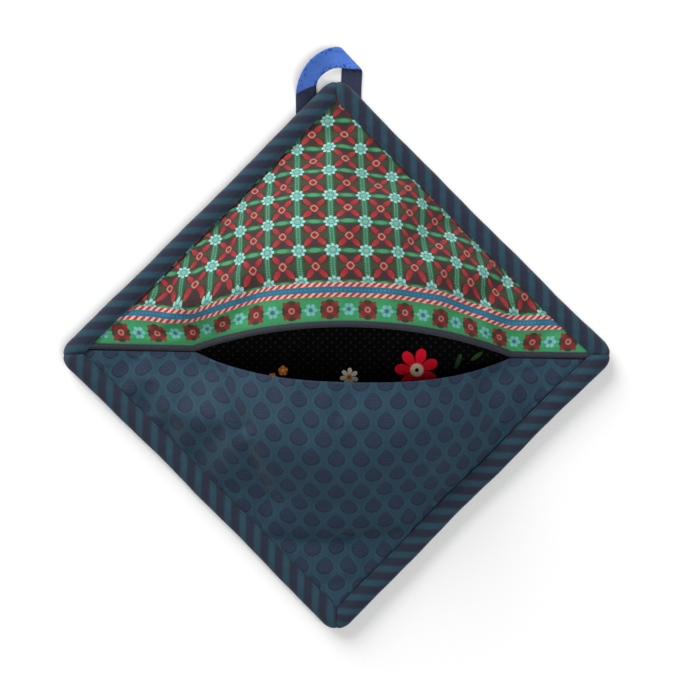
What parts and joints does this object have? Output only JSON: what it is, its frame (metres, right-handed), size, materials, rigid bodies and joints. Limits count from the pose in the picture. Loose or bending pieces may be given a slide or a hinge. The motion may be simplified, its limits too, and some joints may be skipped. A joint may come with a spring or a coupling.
{
  "type": "quilted pot holder with two hand pockets",
  "caption": "Square padded pot holder on its back, with hand pockets above and below a wide mouth, striped mitred edge binding and a folded tape loop at the top corner.",
  "frame": {"origin": "middle of the square, on the flat back that rests on the surface", "axes": "+Z out of the front, away from the back; +Y from the middle towards the corner with the hanging loop; +X to the right as seen from the front"},
  "size_m": [0.3014, 0.3211, 0.0464],
  "materials": {
    "lining_cloth": "matte woven cotton, black with a small flower and dot print",
    "flower_print": "matte woven cotton, red, green and aqua flower lattice with borders",
    "teal_print": "matte woven cotton, plum medallions in a teal lattice",
    "lip_cloth": "matte woven cotton, dark plum",
    "striped_cloth": "matte woven cotton, teal and plum stripes cut on the bias",
    "tape_cloth": "matte cotton tape, blue on one face and dark plum on the other"
  },
  "bodies": {
    "root": {"back_panel": "lining_cloth", "upper_pocket": "flower_print", "lower_pocket": "teal_print", "upper_pocket_lip": "lip_cloth", "binding_upper_right": "striped_cloth", "binding_upper_left": "striped_cloth", "binding_lower_left": "striped_cloth", "binding_lower_right": "striped_cloth", "hanging_loop": "tape_cloth"}
  },
  "joints": []
}
